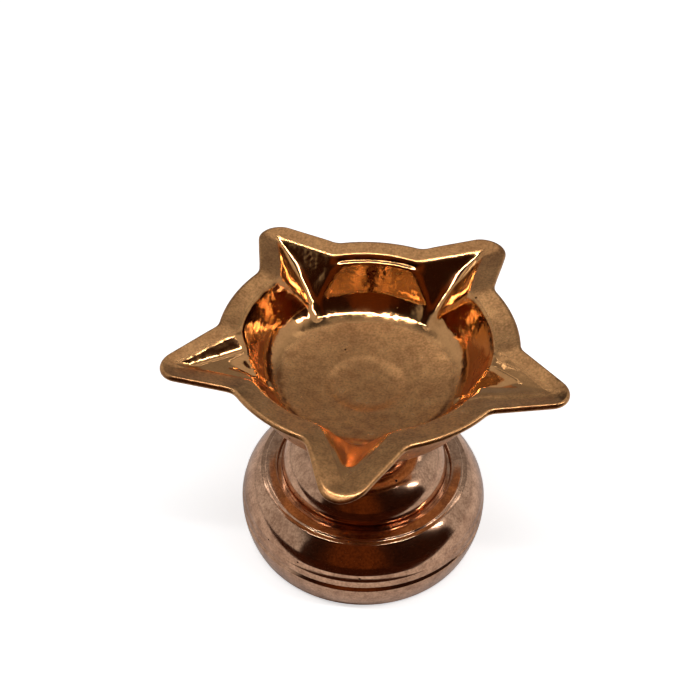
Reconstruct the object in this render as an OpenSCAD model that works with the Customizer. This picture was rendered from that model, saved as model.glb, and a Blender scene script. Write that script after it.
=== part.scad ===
// Five-spout oil lamp: a cast bowl that screws on to a turned stem, on a hollow bell foot.
// Millimetres, +Z up. The origin is the middle of the foot's face, and the first spout points to -Y.

/* [Foot] */
// Radius of the belly at its widest
belly_r = 24.5; // [22:0.1:28]
// Amount by which the belly stands out past the face that the lamp stands on, on the radius
belly_swell = 1.5; // [0.8:0.1:3]
// Height at which the belly is widest
belly_z = 7.5; // [6.5:0.1:8]
// Radius of the belly's round in section, above that height
belly_round_r = 10.4; // [9.6:0.1:12]
// Height of the turned groove between the foot band and the belly
groove_z = 7; // [5.5:0.1:7.5]
// Depth of that groove
groove_depth = 0.7; // [0.3:0.1:1]
// Height of the shelf on top of the foot
shelf_z = 16.1; // [14.5:0.1:16.4]
// Radius of the recess in the shelf that the stem stands in
seat_r = 17.2; // [16.9:0.1:18]
// Depth of that recess
seat_depth = 0.9; // [0.5:0.1:1.5]
// Wall thickness of the hollow foot
foot_wall = 2.4; // [1.8:0.1:3]

/* [Stem] */
// Radius of the cushion at its widest
cushion_r = 16.5; // [14:0.1:16.8]
// Radius of the cushion's round in section
cushion_round_r = 7.2; // [6:0.1:8]
// Height of the waisted neck above the cushion
neck_h = 4.5; // [3.5:0.1:6]
// Height of the upright land above and below the waist
neck_land = 0.6; // [0.3:0.1:1]
// Radius of the tail that passes through the foot
tail_r = 5; // [4:0.1:6]
// Height of the nut on the tail
nut_h = 5; // [3.5:0.1:5.5]
// Width of the nut across its flats
nut_flats = 17; // [15:0.5:19]

/* [Screwed joint] */
// Radius of the stud under the bowl
stud_r = 3.95; // [3:0.05:4.5]
// Length of the stud below the washer
stud_reach = 8.5; // [6:0.1:9]
// Thickness of the washer
washer_t = 0.8; // [0.4:0.1:1.5]
// Running clearance between threads, on the radius
screw_clear = 0.05; // [0.03:0.01:0.1]

/* [Bowl] */
// Height of the bowl from its boss to the top of the rim
bowl_h = 22; // [21:0.2:26]
// Outer radius of the round rim between the spouts
rim_r = 27.4; // [25:0.2:30]
// Width of the rim's face along the radius
rim_face_w = 4.2; // [3.4:0.1:5]
// Width of the narrow flat along the rim's outer edge
rim_land = 0.3; // [0.2:0.05:0.6]
// Depth of the rim's inner edge below its outer edge
rim_dip = 1.4; // [0.6:0.1:2]
// Width of the bevel between the rim's face and the bowl's wall, on the radius
rim_edge_w = 1; // [0.4:0.1:1.2]
// Height of that bevel
rim_edge_h = 0.8; // [0.4:0.1:1.2]
// Height of the upright lip round the rim and the spouts
lip_h = 1.6; // [1:0.1:2.2]
// Thickness of the bowl's wall
wall_t = 2.6; // [2:0.1:3]
// Depth of the dished floor's middle below the rim
floor_depth = 13.6; // [13:0.1:14.4]
// Radius of the round between floor and wall, in section
corner_round_r = 7; // [5:0.1:8]
// Distance of that round's middle inwards from the rim's inner edge
corner_in = 9.5; // [8.8:0.1:10.6]
// Depth of that round's middle below the rim
corner_depth = 5.1; // [4.5:0.1:5.6]
// Radius of the shallow recess turned in the middle of the floor
recess_r = 7.2; // [5:0.1:9]
// Depth of that recess at the middle
recess_depth = 0.2; // [0.1:0.1:0.6]

/* [Spouts] */
// Number of spouts
spout_count = 5; // [3:1:7]
// Distance from the axis to a spout's tip
spout_reach = 38; // [35:0.2:42]
// Radius of a spout's tip, seen from above
tip_r = 3.3; // [2.4:0.1:4.2]
// Width of a spout where it leaves the rim
spout_root_w = 17.3; // [14:0.1:20]
// Radius of the hollow between a spout and the rim
valley_r = 2; // [1:0.1:4]
// Wall thickness below a wick channel
spout_wall = 2.3; // [1.8:0.1:2.8]
// Width of the rim left between a channel's end and the spout's tip
channel_end_w = 3.5; // [2.5:0.1:4.5]
// Width of a channel's floor
channel_floor_w = 1.4; // [0.8:0.1:2.4]
// Distance from the axis to the bend in a channel's floor
channel_bend_r = 28.2; // [26:0.1:30]
// Depth of that bend below the rim
channel_bend_depth = 2.7; // [2.2:0.1:3.4]
// Lean of a channel's walls from upright, below the bend
channel_flare_in = 48; // [42:1:52]
// Lean of its walls from upright, above the bend
channel_flare_out = 57; // [50:1:60]
// Height of a channel above the round of the bowl's floor, where it runs out
channel_sill = 0.15; // [0.1:0.05:0.6]

/* [Hidden] */
$fn = 96;
eps = 0.01;
copper = "#b4764c";
brass = "#c19a4f";
steel = "#8a8a88";
fibre = "#7a3b2a";

// Overlap by which curves cross where they would only touch
blend = 0.01;

// Clearances of the fixed joints, on the radius
tail_clear = 0.15;
braze_gap = 0.02;
washer_clear = 0.35;
washer_inset = 0.3;

// Room below the stud's end, and the tail's end below its nut
stud_end_gap = 0.7;
tail_past_nut = 0.9;

// Foot
belly_mid_r = belly_r - belly_round_r;
band_round_r = (pow(belly_z, 2) + pow(belly_swell, 2)) / (2 * belly_swell);
band_mid_r = belly_r - band_round_r;
seat_z = shelf_z - seat_depth;
crown_z = seat_z - foot_wall;

// Stem
cushion_z = shelf_z;
cushion_mid_r = cushion_r - cushion_round_r;
neck_z = cushion_z + cushion_round_r;
stem_z = neck_z + neck_h;
neck_end_r = cushion_mid_r;
waist_round_r = neck_h / 2 - neck_land;
tail_z = crown_z - nut_h - tail_past_nut;

// Bowl, from its boss up to the rim
boss_z = stem_z + washer_t;
rim_z = boss_z + bowl_h;
floor_z = rim_z - floor_depth;
recess_z = floor_z - recess_depth;
rim_in = [rim_r - rim_face_w, rim_z - rim_dip];
rim_slope = atan(rim_dip / (rim_face_w - rim_land));
bowl_top_z = rim_z + rim_dip;

// Inside of the bowl in section: the dish touches the round, and the round touches the straight wall
wall_in = rim_in - [rim_edge_w, rim_edge_h];
corner_mid = [rim_in.x - corner_in, rim_z - corner_depth];
corner_h = corner_mid.y - floor_z;
dish_r = (pow(corner_h, 2) + pow(corner_mid.x, 2) - pow(corner_round_r, 2))
    / (2 * (corner_h - corner_round_r));
dish_mid_z = floor_z + dish_r;
dish_turn = corner_mid.x / (dish_r - corner_round_r);
wall_turn = atan2(wall_in.y - corner_mid.y, wall_in.x - corner_mid.x)
    - acos(corner_round_r / norm(wall_in - corner_mid));
wall_out = [cos(wall_turn), sin(wall_turn)];
wall_top = wall_in + wall_t * wall_out;
lip_foot = [rim_r - rim_land, rim_z - lip_h];
lip_bite = rim_land / 2 * (lip_foot - wall_top) / (lip_foot.x - wall_top.x);

// Boss under the bowl: a round band, and a cove that runs up into the bowl's underside
boss_r = neck_end_r;
boss_band_h = 1.6;
boss_band_step = 0.8;
boss_neck_r = boss_r - boss_band_step;
cove_bite = 2.9;
boss_cove_z = boss_z + boss_band_h;
boss_cove_r = floor_z - wall_t - boss_cove_z + cove_bite;
stud_cover = 2;
stud_top_z = recess_z - stud_cover;

// Spout outline, with x along the spout: its root on the rim, its round tip, and the side between them
root = [sqrt(pow(rim_r, 2) - pow(spout_root_w / 2, 2)), spout_root_w / 2];
tip_x = spout_reach - tip_r;
side_turn = atan2(root.y, root.x - tip_x) - acos(tip_r / norm([root.x - tip_x, root.y]));
side_out = [cos(side_turn), sin(side_turn)];
side_along = [sin(side_turn), -cos(side_turn)];
side_d = root * side_out;
side_end = [tip_x, 0] + tip_r * side_out;

// Hollow between a side and the rim: its middle, and the half of the spout that it is cut from
valley_along = sqrt(pow(rim_r + valley_r, 2) - pow(side_d + valley_r, 2));
valley_mid = (side_d + valley_r) * side_out + valley_along * side_along;
valley_foot = valley_mid * rim_in.x / (rim_r + valley_r);
valley_on_side = valley_mid - valley_r * side_out;
spout_half = [valley_foot, valley_mid, valley_on_side, side_end];

// Wick channel: a shallow groove from the rim at the spout's tip to the bend, and a steep one from there
// down to the round of the bowl's floor, which it touches
channel_end_x = spout_reach - channel_end_w;
channel_end = [channel_end_x, rim_z - tan(rim_slope) * (side_d - rim_land - channel_end_x * side_out.x)];
channel_bend = [channel_bend_r, rim_z - channel_bend_depth];
end_reach = channel_end - channel_bend;
end_slope = atan2(end_reach.y, end_reach.x);
bend_reach = channel_bend - corner_mid;
channel_touch_r = corner_round_r - channel_sill;
bend_slope = 90 + atan2(bend_reach.y, bend_reach.x) - acos(channel_touch_r / norm(bend_reach));
bend_len = sqrt(bend_reach * bend_reach - pow(channel_touch_r, 2));
channel_past = channel_end_w + tip_r;
channel_h = floor_depth;

// Mouth of a channel, where it cuts the rim's inner edge
mouth_h = rim_in.y - channel_bend.y + (channel_bend.x - rim_in.x) * tan(bend_slope);
mouth_half = channel_floor_w / 2 + mouth_h * cos(bend_slope) * tan(channel_flare_in);
mouth_x = sqrt(pow(rim_in.x, 2) - pow(mouth_half, 2));

// The part of a 2D profile between two heights, outside the axis
module between(z0, z1) {
    intersection() {
        children();
        translate([0, z0]) square([rim_r + belly_r, z1 - z0]);
    }
}

// A disc in the profile plane, at a radius and height
module round_at(r, z, round_r) {
    translate([r, z]) circle(r = round_r);
}

// Foot band and belly in section, taken in by the wall thickness for the hollow
module bell_profile(inset, top_z) {
    between(-inset, belly_z) round_at(band_mid_r, belly_z, band_round_r - inset);
    between(belly_z, top_z) round_at(belly_mid_r, belly_z, belly_round_r - inset);
    translate([0, -inset]) square([belly_mid_r, top_z + inset]);
}

// Hollow bell: foot band, groove, belly, and a shelf with the stem's seat
module foot() {
    color(copper)
    difference() {
        rotate_extrude() bell_profile(0, shelf_z);
        rotate_extrude() bell_profile(foot_wall, crown_z);
        rotate_extrude()
            translate([belly_r, groove_z]) rotate(45) square(groove_depth * sqrt(2), center = true);
        translate([0, 0, seat_z]) cylinder(r = seat_r, h = seat_depth + eps);
        translate([0, 0, crown_z - eps]) cylinder(r = tail_r + tail_clear, h = foot_wall + 2 * eps);
    }
}

// Cushion and waisted neck, tapped from above, with the tail below
module stem() {
    color(copper)
    difference() {
        union() {
            rotate_extrude() {
                between(cushion_z, neck_z) round_at(cushion_mid_r, cushion_z, cushion_round_r);
                translate([0, cushion_z]) square([cushion_mid_r, cushion_round_r]);
                translate([0, seat_z]) square([cushion_r, cushion_z - seat_z]);
            }
            rotate_extrude() difference() {
                translate([0, neck_z - eps]) square([neck_end_r, neck_h + eps]);
                round_at(neck_end_r, neck_z + neck_h / 2, waist_round_r);
            }
            translate([0, 0, tail_z]) cylinder(r = tail_r, h = seat_z - tail_z + eps);
        }
        translate([0, 0, stem_z - stud_reach - stud_end_gap])
            cylinder(r = stud_r + screw_clear, h = stud_reach + stud_end_gap + eps);
    }
}

// Hexagon nut on the tail, under the crown of the foot
module stem_nut() {
    color(steel)
    translate([0, 0, crown_z - nut_h])
    difference() {
        cylinder(d = nut_flats / cos(30), h = nut_h, $fn = 6);
        translate([0, 0, -eps]) cylinder(r = tail_r + screw_clear, h = nut_h + 2 * eps);
    }
}

// Fibre washer on top of the stem
module seat_washer() {
    color(fibre)
    translate([0, 0, stem_z])
    difference() {
        cylinder(r = boss_r - washer_inset, h = washer_t);
        translate([0, 0, -eps]) cylinder(r = stud_r + washer_clear, h = washer_t + 2 * eps);
    }
}

// Stud brazed into the boss
module bowl_stud() {
    color(brass)
    translate([0, 0, stem_z - stud_reach]) cylinder(r = stud_r, h = stud_top_z - stem_z + stud_reach);
}

// Section of the bowl below its rim: wall, round and dish, thickened outwards
module bowl_section(rim_points, thick) {
    polygon(concat(
        [[0, bowl_top_z]],
        rim_points,
        [corner_mid + (corner_round_r + thick) * wall_out, corner_mid, [0, corner_mid.y]]
    ));
    round_at(corner_mid.x, corner_mid.y, corner_round_r + thick + blend);
    intersection() {
        round_at(0, dish_mid_z, dish_r + thick);
        translate([0, floor_z - thick - blend]) square([(dish_r + thick) * dish_turn, floor_depth + thick]);
    }
}

// Outside of the bowl in section: underside of the lip, wall, round, dished underside and boss
module bowl_outside() {
    lip_edge = lip_foot + lip_bite;
    bowl_section([[lip_edge.x, bowl_top_z], lip_edge, wall_top], wall_t);
    translate([0, boss_z]) square([boss_r, boss_band_h]);
    difference() {
        translate([0, boss_cove_z]) square([boss_neck_r + boss_cove_r, floor_z - boss_cove_z]);
        round_at(boss_neck_r + boss_cove_r, boss_cove_z, boss_cove_r);
    }
}

// Inside of the bowl in section: sloping rim, bevelled edge, wall, round, dished floor and its recess
module bowl_inside() {
    bowl_section([[rim_in.x + 2 * (rim_face_w - rim_land), bowl_top_z], rim_in, wall_in], 0);
    translate([0, recess_z]) square([recess_r, floor_depth]);
}

// The bowl seen from above: the round rim, the spouts, and the hollows between them
module star_outline() {
    difference() {
        union() {
            circle(r = rim_r);
            each_spout() {
                polygon(concat(
                    [[0, 0]],
                    [for (p = spout_half) [p.x, -p.y]],
                    [for (i = [len(spout_half) - 1:-1:0]) spout_half[i]]
                ));
                translate([tip_x, 0]) circle(r = tip_r + blend);
            }
        }
        each_spout() for (side = [-1, 1])
            translate([valley_mid.x, side * valley_mid.y]) circle(r = valley_r + blend);
    }
}

// A groove in cross-section, or the hull round it when thickened
module groove_section(flare, thick) {
    half = channel_floor_w / 2 + thick * tan((90 - flare) / 2);
    rise = channel_h + thick;
    polygon([
        [-half, -thick],
        [half, -thick],
        [half + rise * tan(flare), rise - thick],
        [-half - rise * tan(flare), rise - thick]
    ]);
}

// A cross-section carried along a sloping floor, inwards and outwards from a point on it
module along_floor(point, slope, inwards, outwards) {
    translate([point.x, 0, point.y])
        rotate([0, -slope, 0])
        rotate([90, 0, 90])
        translate([0, 0, -inwards])
        linear_extrude(inwards + outwards) children();
}

// A wick channel, or the hull round it when thickened: the two grooves run on past the bend
module wick_channel(thick) {
    along_floor(channel_end, end_slope, channel_end.x - corner_mid.x, channel_past)
        groove_section(channel_flare_out, thick);
    along_floor(channel_bend, bend_slope, bend_len, channel_end.x - channel_bend.x)
        groove_section(channel_flare_in, thick);
}

// The space above the rim's slope on one side of a spout
module above_side() {
    size = 4 * spout_reach;
    edge = side_end - rim_land * side_out;
    translate([edge.x, edge.y, rim_z])
        rotate([0, 0, side_turn])
        rotate([0, -rim_slope, 0])
        translate([-size / 2, -size / 2, 0])
        cube(size);
}

// The space above a spout's rim, which slopes inwards from both sides
module above_spout() {
    intersection() {
        above_side();
        mirror([0, 1, 0]) above_side();
        translate([mouth_x, -rim_r, floor_z]) cube([spout_reach, 2 * rim_r, 2 * floor_depth]);
    }
}

// Copies round the bowl, one for each spout
module each_spout() {
    for (i = [0:spout_count - 1]) rotate(i * 360 / spout_count - 90) children();
}

// The bowl, its spouts with their wick channels, the sloping rim and the stud's hole
module lamp_bowl() {
    color(copper)
    difference() {
        intersection() {
            translate([0, 0, stem_z]) linear_extrude(rim_z - stem_z) star_outline();
            union() {
                rotate_extrude() bowl_outside();
                translate([0, 0, rim_z - lip_h]) cylinder(r = spout_reach + tip_r, h = 2 * lip_h);
                each_spout() wick_channel(spout_wall);
            }
        }
        rotate_extrude() bowl_inside();
        each_spout() {
            wick_channel(0);
            above_spout();
        }
        translate([0, 0, boss_z - eps]) cylinder(r = stud_r + braze_gap, h = stud_top_z - boss_z + eps);
    }
}

foot();
stem();
stem_nut();
seat_washer();
lamp_bowl();
bowl_stud();
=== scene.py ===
import math

import bpy
import numpy as np
from mathutils import Matrix, Vector


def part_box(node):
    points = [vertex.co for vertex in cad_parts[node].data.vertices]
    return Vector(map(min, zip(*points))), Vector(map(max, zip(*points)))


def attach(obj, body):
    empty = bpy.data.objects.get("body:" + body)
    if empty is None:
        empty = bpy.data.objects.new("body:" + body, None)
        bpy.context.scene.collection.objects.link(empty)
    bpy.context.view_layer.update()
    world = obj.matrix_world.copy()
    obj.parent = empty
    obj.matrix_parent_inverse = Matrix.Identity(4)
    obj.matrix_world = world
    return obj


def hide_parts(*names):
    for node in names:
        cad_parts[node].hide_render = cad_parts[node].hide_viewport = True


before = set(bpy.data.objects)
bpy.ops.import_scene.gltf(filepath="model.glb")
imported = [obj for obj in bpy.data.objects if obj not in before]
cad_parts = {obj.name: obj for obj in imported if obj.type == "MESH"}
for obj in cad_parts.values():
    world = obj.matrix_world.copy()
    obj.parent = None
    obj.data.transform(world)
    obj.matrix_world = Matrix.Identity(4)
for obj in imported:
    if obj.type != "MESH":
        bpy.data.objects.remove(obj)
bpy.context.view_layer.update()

# Camera
# A telephone held about a quarter of a metre away, looking down on the lamp from the front.
# The picture is a square of 700 pixels, and the view leans a little to one side.
CAMERA_LENS_MM = 68.74
CAMERA_SENSOR_MM = 36.0
CAMERA_NEAR = 0.01
CAMERA_DISTANCE = 0.24543
CAMERA_ELEVATION = math.radians(43.52)
CAMERA_AZIMUTH = math.radians(4.55)
CAMERA_ROLL = math.radians(1.35)
AIM_HEIGHT = 0.04693
AIM_TO_LEFT = 0.00334

back = Vector((
    math.sin(CAMERA_AZIMUTH) * math.cos(CAMERA_ELEVATION),
    -math.cos(CAMERA_AZIMUTH) * math.cos(CAMERA_ELEVATION),
    math.sin(CAMERA_ELEVATION),
))
level = Vector((math.cos(CAMERA_AZIMUTH), math.sin(CAMERA_AZIMUTH), 0.0))
upright = back.cross(level)
right = level * math.cos(CAMERA_ROLL) + upright * math.sin(CAMERA_ROLL)
camera_data = bpy.data.cameras.new("camera")
camera_data.lens = CAMERA_LENS_MM
camera_data.sensor_width = CAMERA_SENSOR_MM
camera_data.clip_start = CAMERA_NEAR
camera = bpy.data.objects.new("camera", camera_data)
bpy.context.scene.collection.objects.link(camera)
place = Matrix((right, back.cross(right), back)).transposed().to_4x4()
place.translation = Vector((0, 0, AIM_HEIGHT)) - level * AIM_TO_LEFT + back * CAMERA_DISTANCE
camera.matrix_world = place
bpy.context.scene.camera = camera

# Studio
# A white light box: dim cloth above and behind with a bright band across it, lighter cloth at the sides,
# a dark opening on the camera's side, two lamp strips along the top and two soft panels behind. The
# floor is a plain white sheet, which mirrors show as a brown table in front of the lamp.
FLOOR_HALF = 1.5
FLOOR_DROP = 0.00005
FLOOR_WHITE = "#e4e4e4"
FLOOR_LIFT = 0.62
TABLE_BROWN = "#3a1c0e"
TABLE_FROM = -0.043
TABLE_FADE = 0.003
BACKDROP_WHITE = "#ffffff"
# Brightness of the cloth by the angle over the lamp: 0 degrees is the front horizon, 180 the back one
CLOTH_BY_ANGLE = (
    (75, 0.02), (77, 0.06), (100, 0.06), (103, 0.78), (109, 0.78), (113, 0.33), (137, 0.25), (160, 0.24),
)
# The side cloth's brightness, and how far sideways a direction points where it starts and is full
CLOTH_SIDE = 0.5
SIDE_FROM = 0.5
SIDE_FULL = 0.8
# The opening, in degrees round from the front: its edges, how soft they are, and a warm glow inside it
OPENING_DARK = "#2a160c"
OPENING_LEFT = -47.0
OPENING_RIGHT = 86.0
OPENING_FADE = 2.0
OPENING_TOP_FADE = 1.0
GLOW_WARM = "#8a4a1c"
GLOW_MOST = 0.35
GLOW_FULL = 12.0
GLOW_END = 34.0
# How far off the lights are, in metres, and for each its name, its angle over the lamp in degrees, its
# left end, right end and width in metres, and its radiance
LIGHT_DISTANCE = 0.55
LIGHTS = (
    ("lamp_strip", 79, -0.30, 0.32, 0.022, 36.0),
    ("lamp_strip_right", 79, 0.56, 0.95, 0.022, 36.0),
    ("panel_back_right", 123, 0.10, 0.34, 0.09, 1.2),
    ("panel_back_left", 123, -0.34, -0.10, 0.09, 1.5),
)
# Settings that many nodes share: a range with soft ends, and a mix of two colours
SOFT = {"interpolation_type": "SMOOTHSTEP"}
COLOUR = {"data_type": "RGBA"}

bpy.context.scene.view_settings.view_transform = "Standard"


def linear(text):
    """sRGB hex to linear: each channel by the sRGB curve, with an alpha of one."""
    channel = np.array([int(text[i:i + 2], 16) for i in (1, 3, 5)]) / 255
    value = np.where(channel <= 0.04045, channel / 12.92, ((channel + 0.055) / 1.055) ** 2.4)
    return (*value.tolist(), 1.0)


def add(tree, kind, inputs=None, **settings):
    """Adds a node, sets its settings, and gives each named input a value or a link."""
    made = tree.nodes.new(kind)
    for name, value in settings.items():
        setattr(made, name, value)
    for name, value in (inputs or {}).items():
        socket = made.inputs[name]
        if isinstance(value, bpy.types.NodeSocket):
            tree.links.new(value, socket)
        else:
            socket.default_value = value
    return made


def bare_material(name):
    """A new material and its node tree, emptied."""
    made = bpy.data.materials.new(name)
    made.use_nodes = True
    made.node_tree.nodes.clear()
    return made, made.node_tree


world = bpy.data.worlds.new("light_box")
bpy.context.scene.world = world
world.use_nodes = True
tree = world.node_tree
tree.nodes.clear()
toward = add(tree, "ShaderNodeTexCoord").outputs["Generated"]
split = add(tree, "ShaderNodeSeparateXYZ", {0: toward})
x, y, z = (split.outputs[i] for i in range(3))
front = add(tree, "ShaderNodeMath", {0: y, 1: -1.0}, operation="MULTIPLY").outputs[0]
turn = add(tree, "ShaderNodeMath", {0: x, 1: front}, operation="ARCTAN2").outputs[0]
turn = add(tree, "ShaderNodeMath", {0: turn}, operation="DEGREES").outputs[0]
over = add(tree, "ShaderNodeMath", {0: z, 1: front}, operation="ARCTAN2").outputs[0]
over = add(tree, "ShaderNodeMath", {0: over}, operation="DEGREES").outputs[0]
opening_top, cloth = CLOTH_BY_ANGLE[0]
for (angle, shine), (next_angle, next_shine) in zip(CLOTH_BY_ANGLE, CLOTH_BY_ANGLE[1:]):
    rise = add(tree, "ShaderNodeMapRange", {
        0: over, 1: angle, 2: next_angle, 3: 0.0, 4: next_shine - shine,
    }, **SOFT).outputs[0]
    cloth = add(tree, "ShaderNodeMath", {0: rise, 1: cloth}, operation="ADD").outputs[0]
aside = add(tree, "ShaderNodeMath", {0: x}, operation="ABSOLUTE").outputs[0]
sideways = add(tree, "ShaderNodeMapRange", {0: aside, 1: SIDE_FROM, 2: SIDE_FULL}, **SOFT).outputs[0]
cloth = add(tree, "ShaderNodeMix", {0: sideways, 2: cloth, 3: CLOTH_SIDE}).outputs[0]
from_left = add(tree, "ShaderNodeMapRange", {
    0: turn, 1: OPENING_LEFT - OPENING_FADE, 2: OPENING_LEFT + OPENING_FADE,
}, **SOFT).outputs[0]
from_right = add(tree, "ShaderNodeMapRange", {
    0: turn, 1: OPENING_RIGHT + OPENING_FADE, 2: OPENING_RIGHT - OPENING_FADE,
}, **SOFT).outputs[0]
below = add(tree, "ShaderNodeMapRange", {
    0: over, 1: opening_top + OPENING_TOP_FADE, 2: opening_top - OPENING_TOP_FADE,
}, **SOFT).outputs[0]
opening = add(tree, "ShaderNodeMath", {0: from_left, 1: from_right}, operation="MULTIPLY").outputs[0]
opening = add(tree, "ShaderNodeMath", {0: opening, 1: below}, operation="MULTIPLY").outputs[0]
off_front = add(tree, "ShaderNodeMath", {0: turn}, operation="ABSOLUTE").outputs[0]
glow = add(tree, "ShaderNodeMapRange", {
    0: off_front, 1: GLOW_FULL, 2: GLOW_END, 3: GLOW_MOST, 4: 0.0,
}, **SOFT).outputs[0]
dark = add(tree, "ShaderNodeMix", {
    0: glow, 6: linear(OPENING_DARK), 7: linear(GLOW_WARM),
}, **COLOUR).outputs[2]
seen = add(tree, "ShaderNodeMix", {0: opening, 6: cloth, 7: dark}, **COLOUR).outputs[2]
to_camera = add(tree, "ShaderNodeLightPath").outputs["Is Camera Ray"]
shown = add(tree, "ShaderNodeMix", {0: to_camera, 6: seen, 7: linear(BACKDROP_WHITE)}, **COLOUR).outputs[2]
light_box = add(tree, "ShaderNodeBackground", {"Color": shown}).outputs[0]
add(tree, "ShaderNodeOutputWorld", {"Surface": light_box})

# An area light's power is its radiance times four times its area
for name, angle, left_x, right_x, width, radiance in LIGHTS:
    light_data = bpy.data.lights.new(name, "AREA")
    light_data.shape = "RECTANGLE"
    light_data.size = right_x - left_x
    light_data.size_y = width
    light_data.energy = 4 * radiance * light_data.size * width
    light = bpy.data.objects.new(name, light_data)
    bpy.context.scene.collection.objects.link(light)
    climb = math.radians(angle)
    away, up = -math.cos(climb) * LIGHT_DISTANCE, math.sin(climb) * LIGHT_DISTANCE
    moved = Matrix.Translation(Vector(((left_x + right_x) / 2, away, up)))
    light.matrix_world = moved @ Matrix.Rotation(climb - math.pi / 2, 4, "X")

floor_mesh = bpy.data.meshes.new("floor")
floor_corners = np.array([(-1, -1, 0), (1, -1, 0), (1, 1, 0), (-1, 1, 0)]) * FLOOR_HALF
floor_mesh.from_pydata((floor_corners - (0, 0, FLOOR_DROP)).tolist(), [], [(0, 1, 2, 3)])
floor = bpy.data.objects.new("floor", floor_mesh)
bpy.context.scene.collection.objects.link(floor)
# A matt white sheet, lifted to white for the camera
floor_sheet, tree = bare_material("white_floor_sheet")
path = add(tree, "ShaderNodeLightPath")
at = add(tree, "ShaderNodeTexCoord").outputs["Object"]
forward = add(tree, "ShaderNodeSeparateXYZ", {0: at}).outputs[1]
table = add(tree, "ShaderNodeMapRange", {
    0: forward, 1: TABLE_FROM + TABLE_FADE, 2: TABLE_FROM - TABLE_FADE,
}, **SOFT).outputs[0]
in_mirror = path.outputs["Is Glossy Ray"]
table = add(tree, "ShaderNodeMath", {0: table, 1: in_mirror}, operation="MULTIPLY").outputs[0]
floor_colour = add(tree, "ShaderNodeMix", {
    0: table, 6: linear(FLOOR_WHITE), 7: linear(TABLE_BROWN),
}, **COLOUR).outputs[2]
sheet = add(tree, "ShaderNodeBsdfDiffuse", {"Color": floor_colour}).outputs[0]
to_camera = path.outputs["Is Camera Ray"]
lift = add(tree, "ShaderNodeMath", {0: to_camera, 1: FLOOR_LIFT}, operation="MULTIPLY").outputs[0]
lifted = add(tree, "ShaderNodeEmission", {"Strength": lift}).outputs[0]
both = add(tree, "ShaderNodeAddShader", {0: sheet, 1: lifted}).outputs[0]
add(tree, "ShaderNodeOutputMaterial", {"Surface": both})
floor_mesh.materials.append(floor_sheet)

# Foot
# A hollow bell, cast in a copper alloy and turned outside: a foot band, a cut groove, a round belly
# with a faint ring, and a flat shelf with the stem's seat. The nut below pulls it up to the stem.
MM = 0.001
# Sizes in millimetres, angles in degrees
BELLY_Z = 7.5
BELLY_ROUND = 10.4
FACE_R = 23.0
GROOVE_Z = 7.0
GROOVE_HALF = 0.75
GROOVE_DEPTH = 0.65
GROOVE_SHARPNESS = 1.4
RING_Z = 9.9
RING_HALF = 0.75
RING_DEPTH = 0.10
SEAT_R = 17.2
SEAT_DEPTH = 0.9
FOOT_WALL = 2.4
TAIL_HOLE_R = 5.15
SHELF_EDGE_ROUND = 0.7
SEAT_EDGE_ROUND = 0.45
SEAT_CORNER_ROUND = 0.15
TAIL_HOLE_ROUND = 0.2
FACE_EDGE_ROUND = 0.6
FACE_INNER_ROUND = 0.4
# How far the arcs of band and belly stop short of the edges' rounds, and of each other inside
BAND_SHORT = 2.2
BELLY_SHORT = 4.0
INSIDE_SHORT = 0.5
FOOT_STEP = 0.6
FOOT_COLUMNS = 240
FOOT_WOBBLE = 0.05
FOOT_ROUGHNESS = 0.12


def span(node):
    """Lowest and highest corner of a piece of the frame, in millimetres."""
    return [np.array(corner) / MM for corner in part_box(node)]


def arc(middle, radius, start, end, count):
    """Points on a circle in the section plane: middle + radius * (cos a, sin a), a in degrees."""
    a = np.radians(np.linspace(start, end, count))
    return np.stack([middle[0] + radius * np.cos(a), middle[1] + radius * np.sin(a)], 1)


def rounded(points, steps=6):
    """A line through corners (r, z, round): each corner with a round is a quadratic curve that touches
    both of its lines, between points set back from the corner by that round."""
    corner = np.array([p[:2] for p in points], float)
    radius = np.array([p[2] for p in points], float)
    ahead, behind = np.roll(corner, -1, 0) - corner, np.roll(corner, 1, 0) - corner
    ahead /= np.linalg.norm(ahead, axis=1, keepdims=True) + 1e-9
    behind /= np.linalg.norm(behind, axis=1, keepdims=True) + 1e-9
    t = np.linspace(0, 1, steps)[None, :, None]
    first = (corner + behind * radius[:, None])[:, None]
    last = (corner + ahead * radius[:, None])[:, None]
    curve = (1 - t) ** 2 * first + 2 * t * (1 - t) * corner[:, None] + t ** 2 * last
    sharp = radius == 0
    return np.concatenate([corner[i:i + 1] if sharp[i] else curve[i] for i in range(len(corner))])


def spaced(section, longest):
    """The same line with points added at equal steps, so that no step is longer than that length."""
    step = np.linalg.norm(np.diff(section, axis=0), axis=1)
    count = np.maximum(np.ceil(step / longest).astype(int), 1)
    start = np.repeat(np.arange(len(step)), count)
    first = np.repeat(np.cumsum(count) - count, count)
    share = ((np.arange(len(start)) - first) / count[start])[:, None]
    inner = section[start] * (1 - share) + section[start + 1] * share
    return np.concatenate([inner, section[-1:]])


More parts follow.
